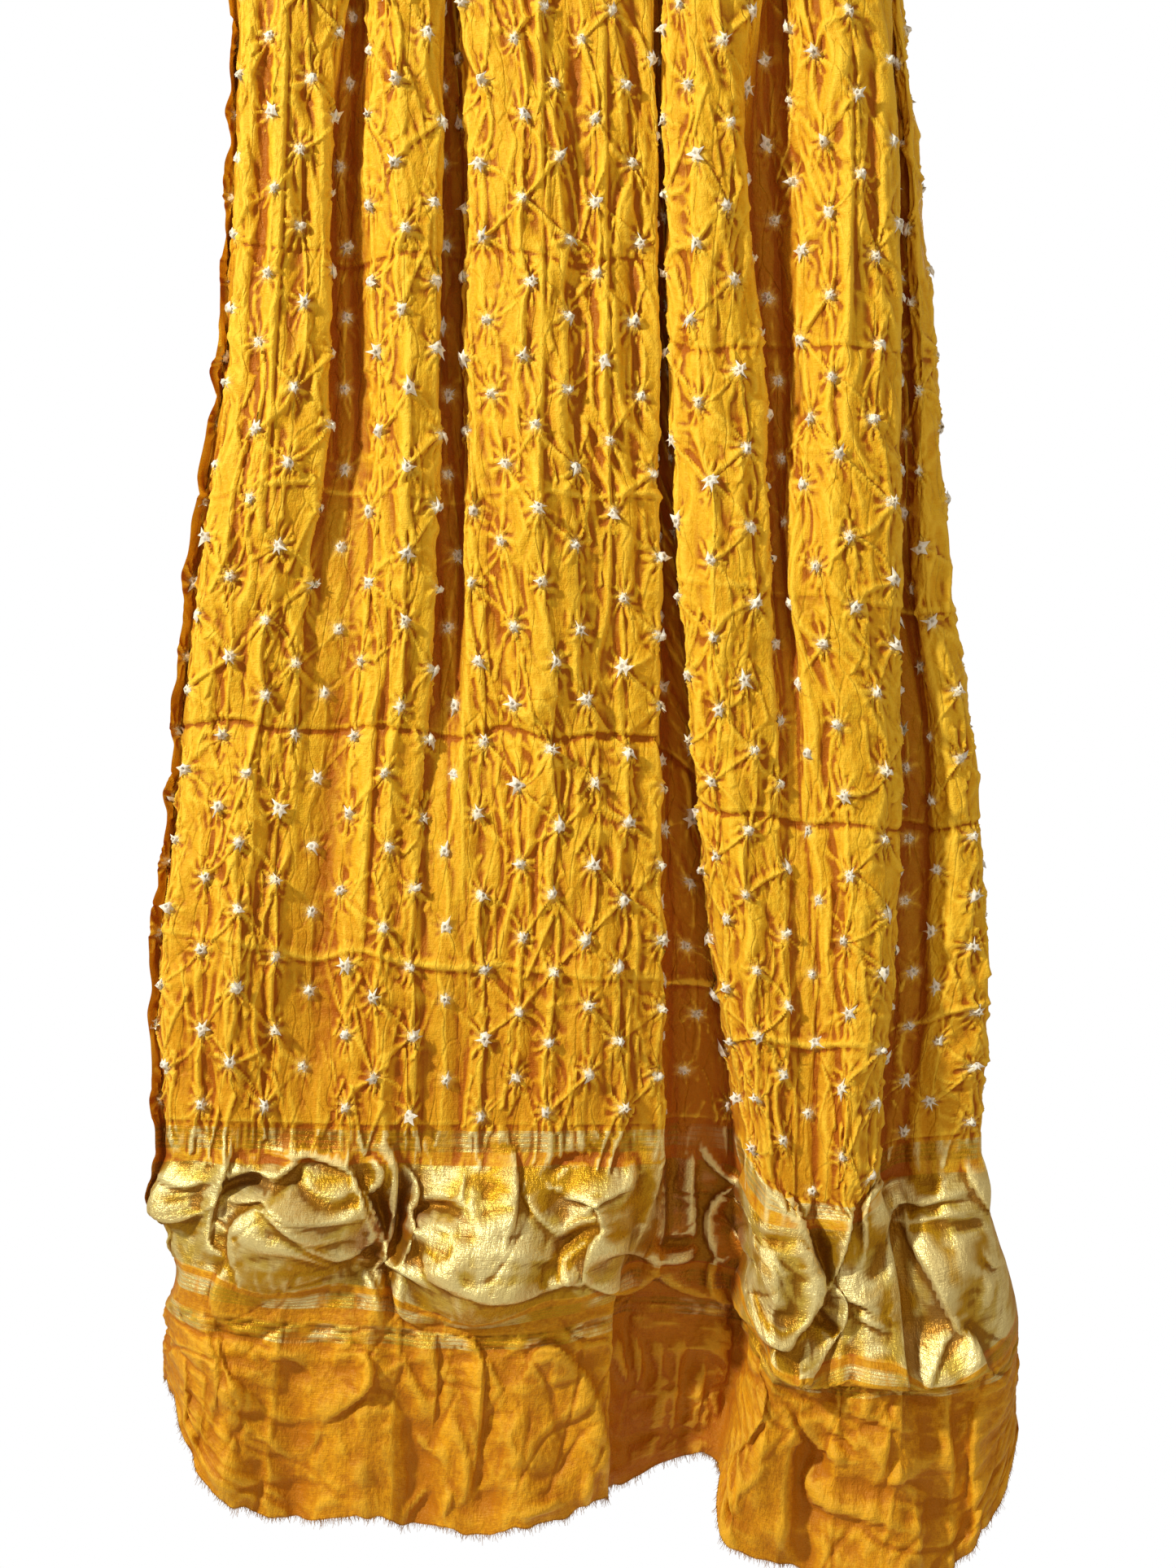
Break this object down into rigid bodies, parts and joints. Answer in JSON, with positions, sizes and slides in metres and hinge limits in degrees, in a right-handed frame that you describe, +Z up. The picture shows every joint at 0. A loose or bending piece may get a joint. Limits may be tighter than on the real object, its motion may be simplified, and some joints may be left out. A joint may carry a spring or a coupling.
{
  "type": "bandhani cloth",
  "caption": "Long tie-dyed silk cloth hanging in uneven vertical folds from a gathered top edge, with tied dots, woven metal-thread bands and a plain end panel with a raw hem",
  "frame": {"origin": "middle of the gathered top edge, at the height from which the cloth hangs", "axes": "+Z up along the hang, +X to the viewer's right, -Y towards the viewer in front of the cloth"},
  "size_m": [0.549, 0.0941, 0.9902],
  "materials": {
    "saffron_silk": "satin"
  },
  "bodies": {
    "root": {"cloth": "saffron_silk"}
  },
  "joints": []
}
